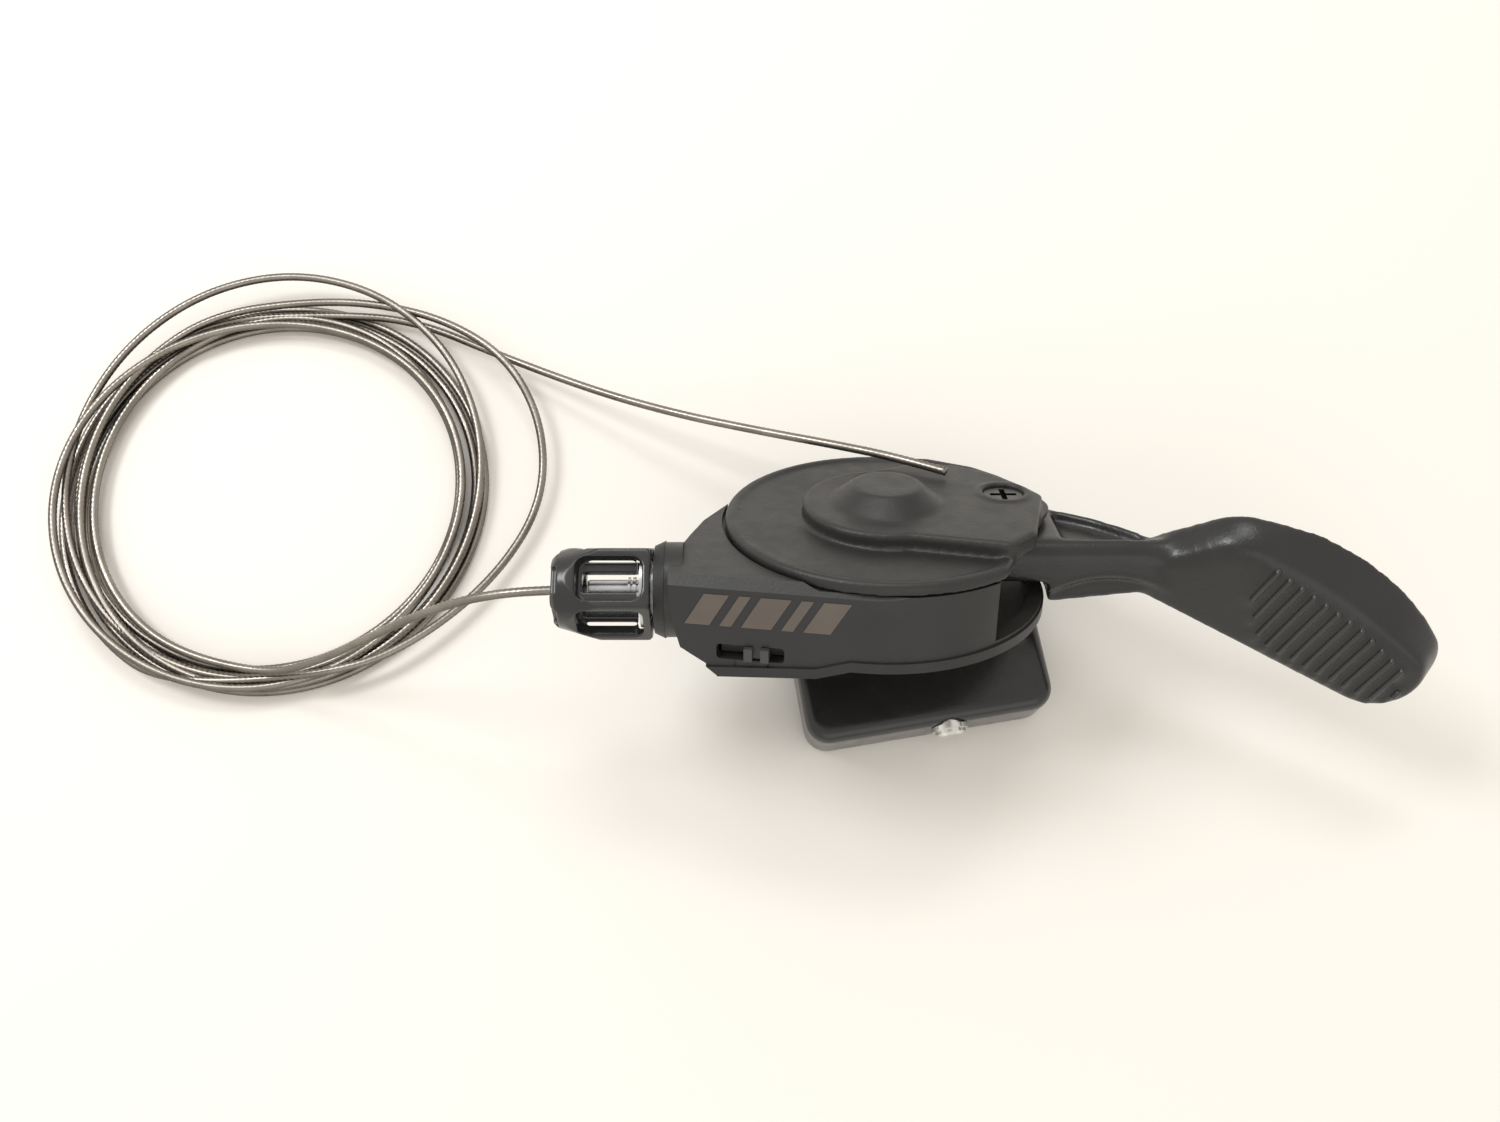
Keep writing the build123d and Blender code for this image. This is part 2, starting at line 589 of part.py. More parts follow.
def bracket():
    block = bracket_blank()
    step = Pos(0, (9.8 + BLOCK_DEPTH - 3) / 2, BLOCK_HEIGHT) * Box(BLOCK_LENGTH - 6, BLOCK_DEPTH - 12.8, 1.2)
    riser = polygon([(13.5, 2), (13.5, 24), (BLOCK_DEPTH, 24), (BLOCK_DEPTH, 2)])
    wedge = extrude(Plane.YZ * riser, (BLOCK_LENGTH - 8) / 2, both=True)
    slot = Pos(NUT_X, (BLOCK_DEPTH + 4) / 2, 0)
    body = block + step + wedge
    body -= slot * Box(5.4, BLOCK_DEPTH - 2, 8)
    body -= slot * Pos(0, 0, NUT_Z + NUT_T / 2) * Box(NUT_SIDE + 0.4, BLOCK_DEPTH - 2, NUT_T + 0.4)
    body -= Pos(PIN_X, 6, PIN_Z) * Rot(90, 0, 0) * Cylinder(PIN_R, 26)
    body = BRACKET * body
    body -= SHIFTER.location * above_plate(0)
    for x, y in BRACKET_SCREWS:
        body -= SHIFTER.location * disc(1.5, SCREW_END_Z, DEEP_Z + 5, x, y)
    return body


def bracket_screws():
    screws = Part()
    for x, y in BRACKET_SCREWS:
        screws += disc(1.5, SCREW_END_Z, SCREW_SEAT_Z, x, y) + disc(2.3, SCREW_SEAT_Z, -9.75, x, y)
    return screws


def bracket_pin():
    pin = Pos(PIN_X, 9 - PIN_STICKS_OUT / 2, PIN_Z) * Rot(90, 0, 0) * Cylinder(PIN_R, 20 - PIN_STICKS_OUT)
    pin = Pos(0, -0.5, 0) * chamfer(pin.edges().filter_by(GeomType.CIRCLE), 0.35)
    collar = Pos(PIN_X, -0.35, PIN_Z) * Rot(90, 0, 0) * Cylinder(PIN_R + 0.4, 0.6)
    return BRACKET * (pin + collar)


def slot_nut():
    nut = Pos(NUT_X, NUT_Y, NUT_Z + NUT_T / 2) * (Box(NUT_SIDE, NUT_SIDE, NUT_T) - Cylinder(M5_MINOR_R, 10))
    return BRACKET * nut


# ---- free part of the inner cable -------------------------------------------------------------
def route_radii(points):
    radii = []
    for before, here, after in zip(points, points[1:], points[2:]):
        run_in = Vector(*here) - Vector(*before)
        run_out = Vector(*after) - Vector(*here)
        turn = radians(run_in.get_angle(run_out))
        radii.append(0.45 * min(run_in.length, run_out.length) / tan(turn / 2))
    return radii


def cable(name, points):
    radii = route_radii(points)
    path = FilletPolyline(*points, radius=radii)
    section = Plane(origin=path @ 0, z_dir=path % 0) * Circle(WIRE_R)
    tube = sweep(section, path=path)
    expected = pi * WIRE_R**2 * path.length
    print(name, "radii", [round(r, 1) for r in radii], "length", round(path.length, 1))
    print(name, "volume", round(tube.volume, 2), "expected", round(expected, 2))
    return tube


def cable_coil():
    section = Pos(COIL_MID_R, COIL_HEIGHT / 2 + 0.05) * RectangleRounded(COIL_WIDTH, COIL_HEIGHT, 2.2)
    return Pos(COIL_CENTRE[0], COIL_CENTRE[1], 0) * revolve(Plane.XZ * section, Axis.Z)


def cable_tip():
    end = Vector(*TAIL_POINTS[-1])
    along = (end - Vector(*TAIL_POINTS[-2])).normalized()
    return extrude(Plane(origin=end, z_dir=along) * Circle(WIRE_R + 0.05), TIP_LENGTH)


# ---- export -----------------------------------------------------------------------------------
SHIFTER_NODES = {
    "housing_case": housing_case,
    "base_plate": base_plate,
    "bottom_cover": bottom_cover,
    "cover_screw": cover_screw,
    "axle": axle,
    "axle_nut": axle_nut,
    "thumb_lever": lever,
    "lever_hub": lever_hub,
    "pawl_arm": pawl_arm,
    "lever_spring": lever_spring,
    "wind_pawl": wind_pawl,
    "wind_pawl_pin": wind_pawl_pin,
    "cable_spool": spool,
    "spool_spring": spool_spring,
    "cable_nipple": cable_nipple,
    "cable_stub": cable_stub,
    "hold_pawl": hold_pawl,
    "hold_pawl_pin": hold_pawl_pin,
    "mode_slider": mode_slider,
    "adjuster_collar": adjuster_collar,
    "adjuster_insert": adjuster_insert,
    "adjuster_cage": adjuster_cage,
    "adjuster_bolt": adjuster_bolt,
    "inner_wire": inner_wire,
    "bracket_screws": bracket_screws,
}
SURFACE_NODES = {
    "bracket": bracket,
    "bracket_pin": bracket_pin,
    "slot_nut": slot_nut,
    "cable_coil": cable_coil,
    "cable_tip": cable_tip,
}
CABLE_NODES = {"cable_lead": LEAD_POINTS, "cable_loop": LOOP_POINTS, "cable_tail": TAIL_POINTS}


def main():
    os.makedirs("parts", exist_ok=True)
    for name, make in SHIFTER_NODES.items():
        export_step(SHIFTER.location * make(), f"parts/{name}.step")
    for name, make in SURFACE_NODES.items():
        export_step(make(), f"parts/{name}.step")
    for name, points in CABLE_NODES.items():
        export_step(cable(name, points), f"parts/{name}.step")


main()
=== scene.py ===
import json
import math
import bmesh
import bpy
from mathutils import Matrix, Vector


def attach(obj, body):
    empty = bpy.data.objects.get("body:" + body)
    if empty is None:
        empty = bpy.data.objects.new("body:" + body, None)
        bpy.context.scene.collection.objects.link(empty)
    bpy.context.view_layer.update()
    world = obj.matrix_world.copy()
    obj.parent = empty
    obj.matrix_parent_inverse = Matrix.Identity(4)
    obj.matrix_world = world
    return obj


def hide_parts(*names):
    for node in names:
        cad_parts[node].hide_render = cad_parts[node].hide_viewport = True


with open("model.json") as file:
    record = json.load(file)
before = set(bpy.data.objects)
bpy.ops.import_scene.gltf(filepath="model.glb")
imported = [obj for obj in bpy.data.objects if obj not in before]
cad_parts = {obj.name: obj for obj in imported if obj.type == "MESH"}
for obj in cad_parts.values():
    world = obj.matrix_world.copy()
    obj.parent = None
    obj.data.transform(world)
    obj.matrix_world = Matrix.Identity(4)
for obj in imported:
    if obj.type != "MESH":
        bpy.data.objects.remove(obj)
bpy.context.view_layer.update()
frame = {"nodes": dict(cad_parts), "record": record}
MM = 0.001

# The shifter's own axes: x from the barrel adjuster to the lever, z along the lever's axle.
JOINTS = {joint["name"]: joint for joint in frame["record"]["behaviour"]["joints"]}
AXLE = Vector(JOINTS["lever_swing"]["pos_m"])
AXLE_DIR = Vector(JOINTS["lever_swing"]["axis"]).normalized()
ACROSS_DIR = AXLE_DIR.cross(Vector((1, 0, 0)))


def at(x, y, z):
    """A point given in millimetres in the shifter's own axes, in the row frame."""
    return AXLE + MM * (x * Vector((1, 0, 0)) + y * ACROSS_DIR + z * AXLE_DIR)


# ---- camera, floor and light ------------------------------------------------------------------
CAMERA_ELEVATION = 73
CAMERA_DISTANCE = 191.2 * MM
CAMERA_LENS = 31.2
CAMERA_SENSOR = 36
CAMERA_AIM = (-17.3 * MM, 1.4 * MM)  # the point on the floor it looks at, from below the axle
FLOOR_HALF = 3.0
FLOOR_COLOUR = (0.9, 0.865, 0.805, 1)
WORLD_COLOUR = (1.0, 0.965, 0.91, 1)
WORLD_STRENGTH = 0.8
LIGHTS = [  # name, place, width and height, power in watts
    ("window", (-0.42, 0.22, 0.55), (0.2, 0.2), 1.7),
    ("back", (-0.06, 0.42, 0.6), (0.3, 0.1), 0.9),
    ("fill", (0.1, -0.5, 0.4), (0.6, 0.4), 0.4),
]
LIGHT_COLOUR = (0.96, 0.98, 1.0)


def add_camera():
    target = Vector((AXLE.x + CAMERA_AIM[0], AXLE.y + CAMERA_AIM[1], 0))
    lift = math.radians(CAMERA_ELEVATION)
    camera = bpy.data.objects.new("camera", bpy.data.cameras.new("camera"))
    camera.data.lens = CAMERA_LENS
    camera.data.sensor_width = CAMERA_SENSOR
    camera.data.clip_start = 0.01
    camera.location = target + CAMERA_DISTANCE * Vector((0, -math.cos(lift), math.sin(lift)))
    camera.rotation_euler = (math.radians(90) - lift, 0, 0)
    bpy.context.scene.collection.objects.link(camera)
    bpy.context.scene.camera = camera


def add_light(name, place, size, power):
    """A rectangular lamp that points at the middle of the floor."""
    light = bpy.data.lights.new(name, "AREA")
    light.shape = "RECTANGLE"
    light.size, light.size_y = size
    light.energy = power
    light.color = LIGHT_COLOUR
    lamp = bpy.data.objects.new(name, light)
    lamp.location = place
    lamp.rotation_euler = (-Vector(place)).to_track_quat("-Z", "Y").to_euler()
    bpy.context.scene.collection.objects.link(lamp)


def add_floor():
    mesh = bpy.data.meshes.new("floor")
    half = FLOOR_HALF
    corners = [(-half, -half, 0), (half, -half, 0), (half, half, 0), (-half, half, 0)]
    mesh.from_pydata(corners, [], [(0, 1, 2, 3)])
    floor = bpy.data.objects.new("floor", mesh)
    bpy.context.scene.collection.objects.link(floor)
    material = bpy.data.materials.new("floor")
    material.use_nodes = True
    shader = material.node_tree.nodes["Principled BSDF"]
    shader.inputs["Base Color"].default_value = FLOOR_COLOUR
    shader.inputs["Roughness"].default_value = 0.6
    floor.data.materials.append(material)


def add_world():
    world = bpy.data.worlds.new("studio")
    world.use_nodes = True
    background = world.node_tree.nodes["Background"]
    background.inputs["Color"].default_value = WORLD_COLOUR
    background.inputs["Strength"].default_value = WORLD_STRENGTH
    bpy.context.scene.world = world
    bpy.context.scene.view_settings.view_transform = "Standard"


add_camera()
add_floor()
add_world()
for name, place, size, power in LIGHTS:
    add_light(name, place, size, power)

# ---- free inner cable -------------------------------------------------------------------------
CABLE_R = 0.6
CABLE_STRANDS = 9
CABLE_LAY = 7  # one full turn of the strands
CABLE_STEP = 0.5
GROOVE_SHARE = 0.78  # distance from the middle to the grooves between strands, as a share of the radius
COIL_CENTRE = (-102.0, 18.5)
STEPS_PER_QUARTER = 4
# The route in millimetres: out of the adjuster and down, the coil's upper turns, the wide loop over the
# right of the coil, the lower turns, and the tail up to the cut end above the cover.
LEAD = [
    (-47.8, -4.62, 28.95),
    (-57.3, -4.62, 28.95),
    (-66.0, -5.0, 26.8),
    (-74.3, -6.0, 21.6),
    (-82.3, -7.3, 14.6),
    (-90.5, -8.8, 8.0),
    (-98.7, -10.0, 3.9),
]
LOOP = [
    (-99.4, 48.7, 3.2),
    (-88.6, 48.3, 3.3),
    (-77.5, 45.2, 3.6),
    (-67.8, 38.4, 4.6),
    (-62.3, 28.3, 3.4),
    (-61.9, 16.5, 2.2),
    (-67.5, 5.7, 2.2),
    (-76.9, -3.7, 3.0),
    (-88.1, -9.8, 4.0),
]
TAIL = [
    (-93.6, 47.1, 1.9),
    (-82.5, 45.9, 1.9),
    (-68.9, 39.6, 2.5),
    (-53.9, 32.4, 5.6),
    (-41.5, 27.3, 9.0),
    (-30.1, 23.4, 12.3),
    (-20.3, 20.0, 15.8),
    (-11.7, 16.6, 19.4),
    (-5.5, 13.5, 22.1),
]
# Radius and height of the coil at the bottom, left, top and right of each turn, as the cable runs.
UPPER_TURNS = [
    (26.9, 3.1), (26.2, 1.9), (28.0, 1.9), (27.5, 1.9),
    (30.2, 3.1), (31.0, 4.3), (26.5, 2.5), (28.2, 3.1),
    (28.5, 1.9), (30.0, 3.1), (34.0, 4.2), (30.6, 2.4),
    (29.9, 1.9), (27.6, 3.1), (30.4, 3.1),
]
LOWER_TURNS = [
    (31.5, 2.4), (31.2, 0.65), (30.0, 0.65), (31.1, 0.65),
    (30.3, 0.65), (29.5, 0.65), (28.5, 0.65), (29.7, 0.65),
    (28.7, 0.65), (27.9, 0.65), (27.0, 0.65), (27.3, 0.65),
    (27.0, 0.65), (28.7, 1.9), (29.8, 1.9),
]


def eased(before, here, after, beyond, share):
    """A value between here and after on a curve through all four."""
    rise_here = (after - before) / 2
    rise_after = (beyond - here) / 2
    s = share
    return (
        (2 * s**3 - 3 * s**2 + 1) * here
        + (s**3 - 2 * s**2 + s) * rise_here
        + (3 * s**2 - 2 * s**3) * after
        + (s**3 - s**2) * rise_after
    )


def coil_points(turns):
    """Clockwise from the bottom of the coil to its top, leaving out both ends."""
    # The points lie a little outside the turn, because the curve cuts the corners between them.
    outward = 1 / math.cos(math.radians(45 / STEPS_PER_QUARTER))
    points = []
    for i in range(len(turns) - 1):
        four = [turns[min(max(k, 0), len(turns) - 1)] for k in (i - 1, i, i + 1, i + 2)]
        for step in range(STEPS_PER_QUARTER):
            share = step / STEPS_PER_QUARTER
            radius = outward * eased(*[r for r, _ in four], share)
            height = eased(*[z for _, z in four], share)
            angle = math.radians(-90 - 90 * (i + share))
            x = COIL_CENTRE[0] + radius * math.cos(angle)
            y = COIL_CENTRE[1] + radius * math.sin(angle)
            points.append((x, y, height))
    return points[1:]


def cable_line():
    """The points along the whole cable's smooth line, a fraction of a millimetre apart."""
    route = LEAD + coil_points(UPPER_TURNS) + LOOP + coil_points(LOWER_TURNS) + TAIL
    curve = bpy.data.curves.new("cable_line", "CURVE")
    curve.dimensions = "3D"
    spline = curve.splines.new("NURBS")
    spline.points.add(len(route) - 1)
    for point, place in zip(spline.points, route):
        point.co = (*[v * MM for v in place], 1)
    spline.order_u = 3
    spline.use_endpoint_u = True
    spline.resolution_u = 12
    holder = bpy.data.objects.new("cable_line", curve)
    line = bpy.data.meshes.new_from_object(holder)
    points = [v.co.copy() for v in line.vertices]
    bpy.data.objects.remove(holder)
    bpy.data.meshes.remove(line)
    return points


def evenly(points, step):
    """The same line with its points one step apart."""
    kept, travelled = [points[0]], 0.0
    for a, b in zip(points, points[1:]):
        run = (b - a).length
        while travelled + run >= step:
            a = a.lerp(b, (step - travelled) / run)
            run = (b - a).length
            travelled = 0.0
            kept.append(a.copy())
        travelled += run
    return kept


def stranded_cable(name, points):
    """A mesh tube whose strands lie helically round the line, one full turn in each lay length."""
    mesh = bmesh.new()
    sides = 2 * CABLE_STRANDS
    across = Vector((0, 0, 1))
    rings = []
    turn = 0.0
    for i, point in enumerate(points):
        before, after = points[max(i - 1, 0)], points[min(i + 1, len(points) - 1)]
        along = (after - before).normalized()
        across = (across - along * across.dot(along)).normalized()
        third = along.cross(across)
        ring = []
        for side in range(sides):
            angle = 2 * math.pi * side / sides + turn
            reach = CABLE_R * MM * (GROOVE_SHARE if side % 2 else 1.0)
            outward = math.cos(angle) * across + math.sin(angle) * third
            ring.append(mesh.verts.new(point + reach * outward))
        rings.append(ring)
        turn += 2 * math.pi * (after - point).length / (CABLE_LAY * MM)
    for ring, following in zip(rings, rings[1:]):
        for side in range(sides):
            corner = (side + 1) % sides
            mesh.faces.new((ring[side], ring[corner], following[corner], following[side]))
    mesh.faces.new(reversed(rings[0]))
    mesh.faces.new(rings[-1])
    return mesh_object(name, mesh)


# ---- mesh helpers -----------------------------------------------------------------------------
def smooth_vertices(mesh, vertices, passes):
    for _ in range(passes):
        bmesh.ops.smooth_vert(
            mesh, verts=vertices, factor=0.5, use_axis_x=True, use_axis_y=True, use_axis_z=True
        )


def rounded_copy(name, node, voxel, passes, soft_spots):
    """A finely remeshed and smoothed piece that replaces a CAD node, softest round the given spots."""
    holder = bpy.data.objects.new(name, frame["nodes"][node].data.copy())
    bpy.context.scene.collection.objects.link(holder)
    remesh = holder.modifiers.new("remesh", "REMESH")
    remesh.mode = "VOXEL"
    remesh.voxel_size = voxel * MM
    ready = holder.evaluated_get(bpy.context.evaluated_depsgraph_get())
    mesh = bmesh.new()
    mesh.from_mesh(ready.to_mesh())
    bpy.data.objects.remove(holder)
    smooth_vertices(mesh, mesh.verts, passes)
    for centre, radius, more in soft_spots:
        near = [v for v in mesh.verts if (v.co - centre).length < radius * MM]
        smooth_vertices(mesh, near, more)
    piece = mesh_object(name, mesh)
    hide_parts(node)
    return piece


def mesh_object(name, mesh, smooth=True):
    data = bpy.data.meshes.new(name)
    bmesh.ops.recalc_face_normals(mesh, faces=mesh.faces)
    mesh.to_mesh(data)
    mesh.free()
    piece = bpy.data.objects.new(name, data)
    for face in data.polygons:
        face.use_smooth = smooth
    bpy.context.scene.collection.objects.link(piece)
    return piece


# ---- materials --------------------------------------------------------------------------------
PLASTIC_TINT = (1.0, 0.97, 0.96)
PLASTIC_MOTTLE, PLASTIC_GLOSS = 130, 420  # scale of the noise in colour and in roughness
METAL_MOTTLE, METAL_GLOSS = 260, 700
METAL_MARKS = 0.00001  # depth of the marks in bare metal, in metres


def new_material(name, colour, roughness, metallic=0.0, coat=0.0):
    material = bpy.data.materials.new(name)
    material.use_nodes = True
    shader = material.node_tree.nodes["Principled BSDF"]
    shader.inputs["Base Color"].default_value = (*colour, 1)
    shader.inputs["Roughness"].default_value = roughness
    shader.inputs["Metallic"].default_value = metallic
    shader.inputs["Coat Weight"].default_value = coat
    shader.inputs["Coat Roughness"].default_value = 0.25
    return material


def noise_node(material, scale, detail):
    """Noise fixed to the object."""
    nodes, links = material.node_tree.nodes, material.node_tree.links
    place = nodes.new("ShaderNodeTexCoord")
    noise = nodes.new("ShaderNodeTexNoise")
    noise.inputs["Scale"].default_value = scale
    noise.inputs["Detail"].default_value = detail
    links.new(place.outputs["Object"], noise.inputs["Vector"])
    return noise


def add_noise(material, scale, low, high, socket):
    """Drives one shader input from fine noise, between two values."""
    nodes, links = material.node_tree.nodes, material.node_tree.links
    noise = noise_node(material, scale, detail=4.0)
    ramp = nodes.new("ShaderNodeValToRGB")
    ramp.color_ramp.elements[0].position = 0.3
    ramp.color_ramp.elements[1].position = 0.7
    ramp.color_ramp.elements[0].color = (*low, 1)
    ramp.color_ramp.elements[1].color = (*high, 1)
    links.new(noise.outputs["Fac"], ramp.inputs["Fac"])
    links.new(ramp.outputs["Color"], nodes["Principled BSDF"].inputs[socket])


def add_bump(material, scale, depth):
    nodes, links = material.node_tree.nodes, material.node_tree.links
    noise = noise_node(material, scale, detail=3.0)
    bump = nodes.new("ShaderNodeBump")
    bump.inputs["Strength"].default_value = 1.0
    bump.inputs["Distance"].default_value = depth
    links.new(noise.outputs["Fac"], bump.inputs["Height"])
    links.new(bump.outputs["Normal"], nodes["Principled BSDF"].inputs["Normal"])


def scaled(colour, share):
    return tuple(share * c for c in colour)


def moulded(name, shade, roughness, grain=2400, depth=0.00003, coat=0.0, tint=PLASTIC_TINT):
    """Moulded plastic: slight colour and gloss variation, and a fine grain."""
    colour = scaled(tint, shade)
    material = new_material(name, colour, roughness, coat=coat)
    add_noise(material, PLASTIC_MOTTLE, scaled(colour, 0.86), scaled(colour, 1.14), "Base Color")
    add_noise(material, PLASTIC_GLOSS, (roughness - 0.05,) * 3, (roughness + 0.05,) * 3, "Roughness")
    add_bump(material, grain, depth)
    return material


def metal(name, colour, roughness, scale=900):
    """Bare metal: slight colour and gloss variation, and very fine marks."""
    material = new_material(name, colour, roughness, metallic=1.0)
    add_noise(material, METAL_MOTTLE, scaled(colour, 0.8), scaled(colour, 1.1), "Base Color")
    add_noise(material, METAL_GLOSS, (roughness - 0.06,) * 3, (roughness + 0.08,) * 3, "Roughness")
    add_bump(material, scale, METAL_MARKS)
    return material


MATERIALS = {
    "housing_plastic": moulded("housing_plastic", 0.02, 0.43),
    "plate_plastic": moulded("plate_plastic", 0.018, 0.45),
    "cover_plastic": moulded("cover_plastic", 0.019, 0.45),
    "lever_plastic": moulded("lever_plastic", 0.018, 0.3),
    # The ribs are the lever's plastic painted twice as light: a painted highlight along the raised bars.
    "rib_plastic_painted_highlight": moulded("rib_plastic_painted_highlight", 0.036, 0.24, depth=0.00001),
    "spool_plastic": moulded("spool_plastic", 0.12, 0.5),
    "slider_plastic": moulded("slider_plastic", 0.05, 0.35, tint=(1, 1, 1.02)),
    "cage_plastic": moulded("cage_plastic", 0.014, 0.26, depth=0.00001, coat=0.3, tint=(1, 1, 1.02)),
    "bracket_plastic": moulded(
        "bracket_plastic", 0.012, 0.24, depth=0.00001, coat=0.3, tint=(1, 0.99, 0.98)
    ),
    "collar_rubber": moulded("collar_rubber", 0.008, 0.5, grain=3000),
    # The screw's steel is dark partly as its own finish and partly as painted shade of the recess round
    # its head.
    "screw_steel": metal("screw_steel", (0.1, 0.1, 0.105), 0.3),
    "axle_steel": metal("axle_steel", (0.45, 0.45, 0.46), 0.35),
    "pressed_steel": metal("pressed_steel", (0.42, 0.42, 0.43), 0.4),
    "spring_steel": metal("spring_steel", (0.35, 0.35, 0.36), 0.35),
    "nut_steel": metal("nut_steel", (0.5, 0.5, 0.51), 0.35),
    "pin_metal": metal("pin_metal", (0.8, 0.79, 0.76), 0.2),
    "insert_metal": metal("insert_metal", (0.6, 0.6, 0.61), 0.3),
    "bolt_metal": metal("bolt_metal", (0.55, 0.55, 0.56), 0.3),
    "cable_steel": metal("cable_steel", (0.33, 0.30, 0.265), 0.33, scale=3000),
}
# Moulded pieces remeshed to round their edges: voxel size in millimetres and smoothing passes.
SOFTENED = {"bottom_cover": (0.26, 10), "adjuster_cage": (0.13, 8), "bracket": (0.32, 8)}
# Pieces whose sharp edges are bevelled instead: bevel width in millimetres.
BEVELS = {
    "housing_case": 0.35, "base_plate": 0.25, "adjuster_bolt": 0.05, "adjuster_collar": 0.15,
    "adjuster_insert": 0.12, "mode_slider": 0.15, "cover_screw": 0.12, "bracket_pin": 0.3,
    "bracket_screws": 0.2, "slot_nut": 0.3, "axle": 0.2, "axle_nut": 0.2,
}
BEVEL_ANGLE = 28


def dress_nodes():
    """Gives every CAD node its material, and rounds the edges of those listed in SOFTENED and BEVELS."""
    slots = {part["node"]: part["material_slot"] for part in frame["record"]["subparts"]}
    for name, node in frame["nodes"].items():
        node.data.materials.clear()
        node.data.materials.append(MATERIALS[slots[name]])
        if name in SOFTENED:
            voxel, passes = SOFTENED[name]
            remesh = node.modifiers.new("remesh", "REMESH")
            remesh.mode = "VOXEL"
            remesh.voxel_size = voxel * MM
            remesh.use_smooth_shade = True
            soften = node.modifiers.new("soften", "SMOOTH")
            soften.factor = 0.5
            soften.iterations = passes
        if name in BEVELS:
            bevel = node.modifiers.new("edges", "BEVEL")
            bevel.width = BEVELS[name] * MM
            bevel.segments = 3
            bevel.limit_method = "ANGLE"
            bevel.angle_limit = math.radians(BEVEL_ANGLE)
            bevel.use_clamp_overlap = True
            bevel.harden_normals = False


dress_nodes()

# The free cable is one piece; it stands for all the CAD pieces along its route.
line = cable_line()
cable = stranded_cable("inner_cable", evenly(line, CABLE_STEP * MM))
cable.data.materials.append(MATERIALS["cable_steel"])
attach(cable, "housing")
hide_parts("cable_lead", "cable_coil", "cable_loop", "cable_tail", "cable_tip")

# ---- generic mark on the side wall ------------------------------------------------------------
WALL_TURN = math.radians(9.5)
WALL_DISTANCE = 20.5
# Start and width of each bar.
MARK_BARS = [(-22.0, 3.0), (-17.8, 1.4), (-15.2, 3.6), (-10.4, 1.4), (-7.8, 3.2)]
MARK_LOW, MARK_HIGH = -7.0, -2.9
MARK_SLANT = 2.4
MARK_PROUD, MARK_SUNK = 0.05, 0.2  # how far the bars stand out of the wall and reach into it


def on_wall(x, z, out):
    """A point on the flat side wall, out from it by a distance."""
    along = Vector((math.cos(WALL_TURN), -math.sin(WALL_TURN)))
    outward = Vector((-math.sin(WALL_TURN), -math.cos(WALL_TURN)))
    place = along * x + outward * (WALL_DISTANCE + out)
    return at(place.x, place.y, z)


def side_mark():
    """Plain slanted bars printed on the side wall."""
    mesh = bmesh.new()
    for start, width in MARK_BARS:
        corners = [(start, MARK_LOW), (start + width, MARK_LOW)]
        corners += [(start + width + MARK_SLANT, MARK_HIGH), (start + MARK_SLANT, MARK_HIGH)]
        top = [mesh.verts.new(on_wall(x, z, MARK_PROUD)) for x, z in corners]
        foot = [mesh.verts.new(on_wall(x, z, -MARK_SUNK)) for x, z in corners]
        mesh.faces.new(top)
        mesh.faces.new(reversed(foot))
        for i in range(4):
            k = (i + 1) % 4
            mesh.faces.new((top[i], foot[i], foot[k], top[k]))
    mark = mesh_object("side_mark", mesh, smooth=False)
    ink = moulded("mark_ink", 0.11, 0.4, tint=(1.0, 0.82, 0.68))
    mark.data.materials.append(ink)
    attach(mark, "housing")


side_mark()

# ---- thumb lever and the ribs of its pad ------------------------------------------------------
LEVER_VOXEL, LEVER_PASSES = 0.24, 45
# Spots of the lever that are rounded more: place on the pad's axes, then radius and passes of each round.
SOFT_SPOTS = [
    ((-1.3, 10.5, -2.0), ((6.0, 20), (4.5, 20))),
    ((5.5, 13.5, -2.5), ((8.5, 25), (7.0, 25), (5.5, 30), (4.0, 30))),
]
PAD_ORIGIN = (33.0, -3.4, -10.0)
PAD_YAW, PAD_DIP, PAD_ROLL = math.radians(20), math.radians(15), math.radians(-25)
# Outline of the ribbed field on the pad's face.
RIB_FIELD = [
    (10.2, 8.4), (15.2, 2.6), (17.5, 1.9), (31.0, 1.8), (33.2, 3.4),
    (33.6, 5.0), (31.4, 8.8), (24, 11.4), (10.2, 13.6),
]
RIB_COUNT, RIB_START, RIB_PITCH = 13, 11.1, 1.85
RIB_HALF_WIDTH, RIB_HEIGHT, RIB_SUNK = 0.46, 0.9, 0.1
RIB_STEPS = 8  # steps round each rib's end and across it
RIB_TIP = 0.05  # size of the rib's section at its very end, as a share of the full one


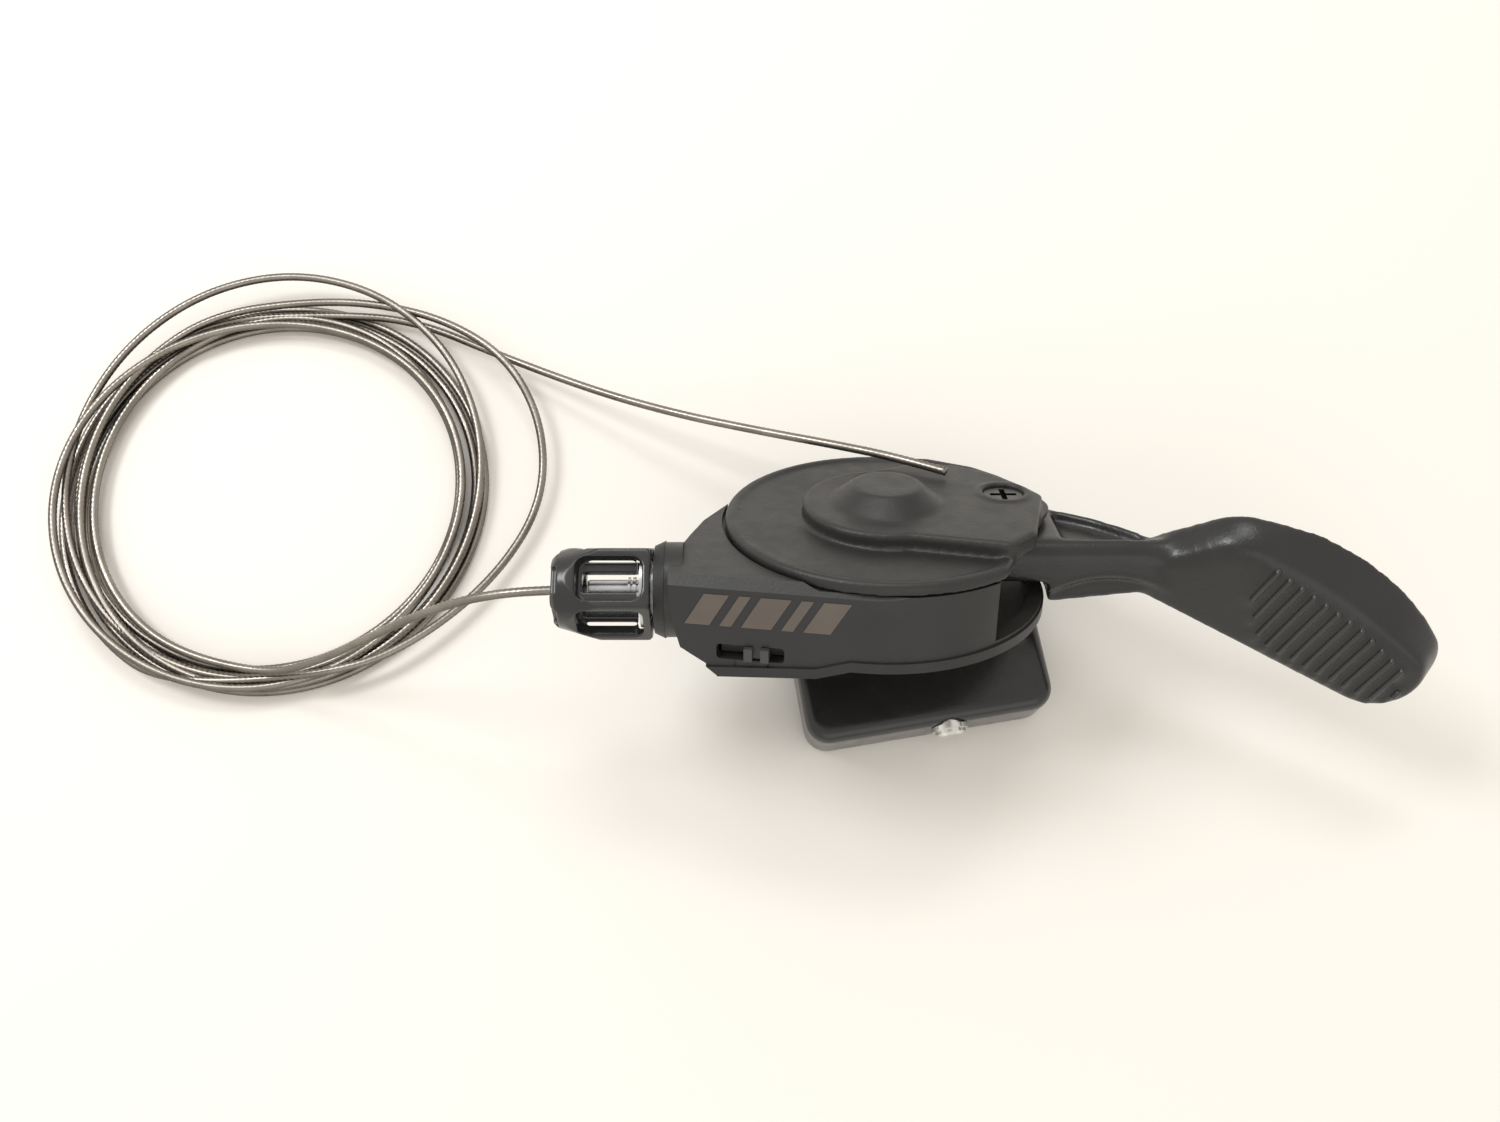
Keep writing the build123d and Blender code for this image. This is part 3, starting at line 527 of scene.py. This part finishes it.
def on_pad(x, y, out):
    """A point on the thumb pad: x out along it, y across it, and its height above the pad's face."""
    normal = Vector((
        -math.sin(PAD_YAW) * math.cos(PAD_DIP),
        -math.cos(PAD_YAW) * math.cos(PAD_DIP),
        -math.sin(PAD_DIP),
    ))
    level = Vector((math.cos(PAD_YAW), -math.sin(PAD_YAW), 0))
    upright = normal.cross(level)
    along = level * math.cos(PAD_ROLL) + upright * math.sin(PAD_ROLL)
    across = normal.cross(along)
    return at(*(Vector(PAD_ORIGIN) + x * along + y * across + out * normal))


def rib_span(x):
    """Where the rib at x starts and ends across the ribbed field."""
    crossings = []
    for (ax, ay), (bx, by) in zip(RIB_FIELD, RIB_FIELD[1:] + RIB_FIELD[:1]):
        if (ax - x) * (bx - x) < 0:
            crossings.append(ay + (by - ay) * (x - ax) / (bx - ax))
    return min(crossings), max(crossings)


def pad_ribs():
    """Raised bars, half round across and rounded off at both ends."""
    mesh = bmesh.new()
    for i in range(RIB_COUNT):
        x = RIB_START + i * RIB_PITCH
        low, high = rib_span(x)
        stations = []
        for end, sign in ((low, -1), (high, 1)):
            turns = range(RIB_STEPS + 1) if sign < 0 else range(RIB_STEPS, -1, -1)
            for k in turns:
                tilt = math.radians(90) * k / RIB_STEPS
                scale = math.sin(tilt) if k else RIB_TIP
                stations.append((end - sign * RIB_HALF_WIDTH * (1 - math.cos(tilt)), scale))
        rings = []
        for y, scale in stations:
            ring = []
            for k in range(RIB_STEPS + 1):
                turn = math.pi * k / RIB_STEPS
                width = scale * RIB_HALF_WIDTH * math.cos(turn)
                height = scale * RIB_HEIGHT * math.sin(turn) - RIB_SUNK
                ring.append(mesh.verts.new(on_pad(x + width, y, height)))
            rings.append(ring)
        for ring, following in zip(rings, rings[1:]):
            for k in range(RIB_STEPS + 1):
                corner = (k + 1) % (RIB_STEPS + 1)
                mesh.faces.new((ring[k], ring[corner], following[corner], following[k]))
        mesh.faces.new(rings[0])
        mesh.faces.new(rings[-1])
    ribs = mesh_object("pad_ribs", mesh)
    # The lighter rib plastic is a painted highlight on the ribs.
    ribs.data.materials.append(MATERIALS["rib_plastic_painted_highlight"])
    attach(ribs, "lever")


def lever_moulding():
    """The thumb lever with rounded edges, softest at the bend from its arm into the pad."""
    spots = [(on_pad(*place), radius, more) for place, rounds in SOFT_SPOTS for radius, more in rounds]
    lever = rounded_copy("lever_moulding", "thumb_lever", LEVER_VOXEL, LEVER_PASSES, spots)
    lever.data.materials.append(MATERIALS["lever_plastic"])
    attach(lever, "lever")


lever_moulding()
pad_ribs()
